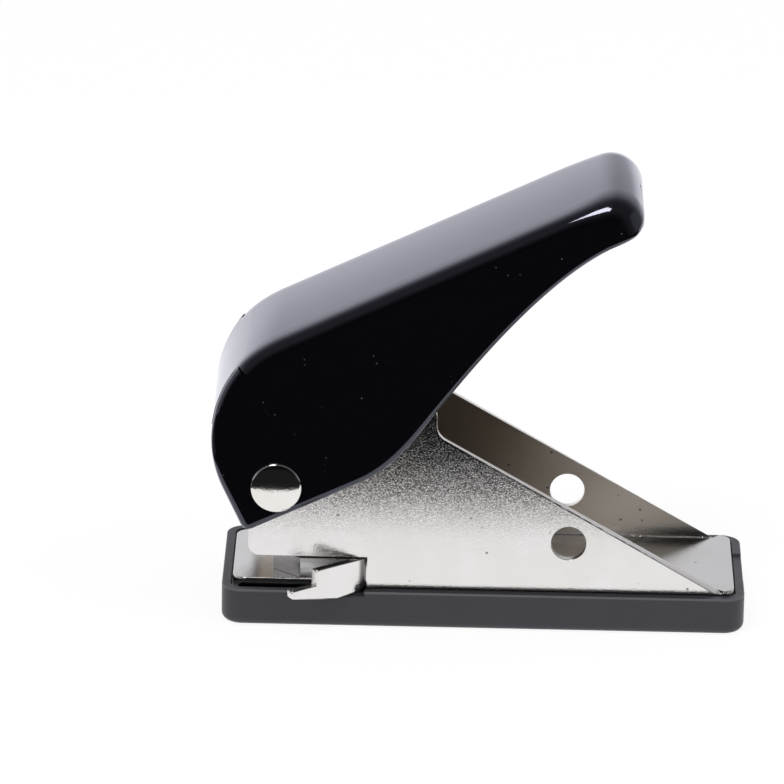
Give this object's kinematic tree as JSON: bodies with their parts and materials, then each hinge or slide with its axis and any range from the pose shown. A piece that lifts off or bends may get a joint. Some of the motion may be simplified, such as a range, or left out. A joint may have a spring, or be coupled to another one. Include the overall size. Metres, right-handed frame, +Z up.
{
  "type": "dart flight punch",
  "caption": "Hand-squeezed punch for dart flights: black coated steel lever handle on a nickel-plated steel channel with flared guide wings and a dark plastic chip tray.",
  "frame": {"origin": "middle of the chip tray's underside, on the table", "axes": "+X from the throat at the front to the rear end, +Z up, Y across the punch"},
  "size_m": [0.0762, 0.039, 0.065],
  "materials": {
    "black_coat": "smooth glossy black coating on pressed steel",
    "satin_nickel": "nickel plating on sheet steel with a fine grain",
    "bright_nickel": "bright nickel plating",
    "tool_steel": "ground hardened steel",
    "spring_steel": "drawn spring wire",
    "tray_plastic": "dark grey satin moulded plastic"
  },
  "bodies": {
    "channel": {"body_channel": "satin_nickel", "die_plate": "tool_steel", "die_rivet_near": "bright_nickel", "die_rivet_far": "bright_nickel", "guide_plate": "satin_nickel", "keeper_frame": "satin_nickel", "spring_seat": "bright_nickel", "return_spring": "spring_steel", "pivot_rivet": "bright_nickel", "arm_washer_near": "bright_nickel", "arm_washer_far": "bright_nickel"},
    "tray": {"base_tray": "tray_plastic"},
    "handle": {"handle_shell": "black_coat", "strike_bracket": "satin_nickel", "strike_pin": "tool_steel", "pivot_sleeve": "bright_nickel"},
    "punch": {"punch_pin": "tool_steel", "retaining_clip": "spring_steel", "spring_washer": "bright_nickel"}
  },
  "joints": [
    {"name": "handle_press", "type": "hinge", "parent": "channel", "child": "handle", "pos_m": [-0.02965, 0, 0.02095], "axis": [0, 1, 0], "range_deg": [0, 23], "stiffness_Nm_per_rad": 0.07, "springref_deg": -28.65},
    {"name": "punch_slide", "type": "slide", "parent": "channel", "child": "punch", "axis": [0, 0, -1], "range_m": [0, 0.00272], "deforming": ["return_spring"]},
    {"name": "tray_release", "type": "slide", "parent": "channel", "child": "tray", "axis": [0, 0, -1], "range_m": [0, 0.012]}
  ],
  "couplings": [
    {"joint": "punch_slide", "follows": "handle_press", "m_per_rad": 0.006769}
  ]
}
